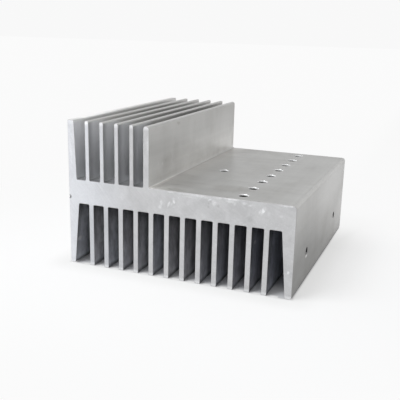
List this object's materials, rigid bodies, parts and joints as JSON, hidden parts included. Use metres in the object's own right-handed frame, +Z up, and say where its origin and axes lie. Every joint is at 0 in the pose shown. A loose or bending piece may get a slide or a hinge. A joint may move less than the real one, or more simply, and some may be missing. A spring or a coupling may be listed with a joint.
{
  "type": "extruded heat sink",
  "caption": "Extruded aluminium heat sink with a thick drilled base, a comb of fins below and a block of taller fins above one side.",
  "frame": {"origin": "middle of the plane of the lower fin tips, under the middle of the bar", "axes": "+Y along the extrusion, away from the front cut; +X across the section, from the upper fins to the mounting face; +Z up"},
  "size_m": [0.1206, 0.127, 0.0762],
  "materials": {
    "mill_aluminium": "mill finish, sawn ends"
  },
  "bodies": {
    "root": {"heat_sink": "mill_aluminium"}
  },
  "joints": []
}
